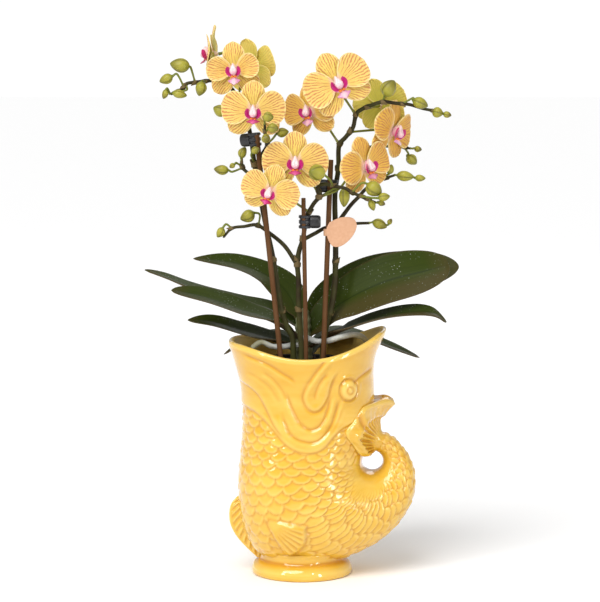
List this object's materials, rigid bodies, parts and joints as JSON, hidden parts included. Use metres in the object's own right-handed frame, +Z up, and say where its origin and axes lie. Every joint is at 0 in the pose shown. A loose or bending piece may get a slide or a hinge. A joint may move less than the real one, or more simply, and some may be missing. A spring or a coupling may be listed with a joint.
{
  "type": "potted orchid",
  "caption": "Flowering moth orchid in a nursery pot that hangs in the open mouth of a tall fish-shaped glazed vase with a looped tail.",
  "frame": {"origin": "centre of the underside of the vase's foot, on the surface that it stands on", "axes": "+Z up; +X towards the tail loop and the upper jaw of the fish; -Y is the front, which most blooms face"},
  "size_m": [0.2313, 0.1305, 0.4059],
  "materials": {
    "vase_glaze": "glossy amber-yellow glaze, darker in the grooves and pale on the raised edges",
    "pot_plastic": "matt dark nursery-pot plastic",
    "bark": "rough dry bark chips",
    "crown": "dull green stem with the pale rims of old leaf bases",
    "leaf": "thick leaf, satin dark green above, duller and brownish beneath",
    "air_root": "dry silver-grey root skin",
    "flower_stem": "dark brown-green stem, light green towards buds and blooms",
    "bamboo": "stained bamboo, satin",
    "clip_plastic": "black moulded plastic",
    "tepals": "soft golden-yellow petals with thin red-brown veins",
    "lip": "magenta and pink waxy lip with a white column",
    "tag_card": "matt salmon card, bare"
  },
  "bodies": {
    "root": {"vase": "vase_glaze", "nursery_pot": "pot_plastic", "bark": "bark", "crown": "crown", "leaf_left_1": "leaf", "leaf_right_1": "leaf", "leaf_left_2": "leaf", "leaf_right_2": "leaf", "leaf_left_3": "leaf", "leaf_right_3": "leaf", "leaf_right_4": "leaf", "leaf_left_4": "leaf", "leaf_left_5": "leaf", "air_root_left": "air_root", "air_root_right": "air_root", "spike_left": "flower_stem", "spike_middle": "flower_stem", "spike_right": "flower_stem", "stick_left": "bamboo", "stick_middle": "bamboo", "stick_right": "bamboo", "clip_left": "clip_plastic", "clip_middle": "clip_plastic", "clip_right": "clip_plastic", "bloom_1_tepals": "tepals", "bloom_1_lip": "lip", "bloom_2_tepals": "tepals", "bloom_2_lip": "lip", "bloom_3_tepals": "tepals", "bloom_3_lip": "lip", "bloom_4_tepals": "tepals", "bloom_4_lip": "lip", "bloom_5_tepals": "tepals", "bloom_5_lip": "lip", "bloom_6_tepals": "tepals", "bloom_6_lip": "lip", "bloom_7_tepals": "tepals", "bloom_7_lip": "lip", "bloom_8_tepals": "tepals", "bloom_8_lip": "lip", "bloom_9_tepals": "tepals", "bloom_9_lip": "lip", "bloom_10_tepals": "tepals", "bloom_10_lip": "lip", "bloom_11_tepals": "tepals", "bloom_11_lip": "lip", "tag": "tag_card"}
  },
  "joints": []
}
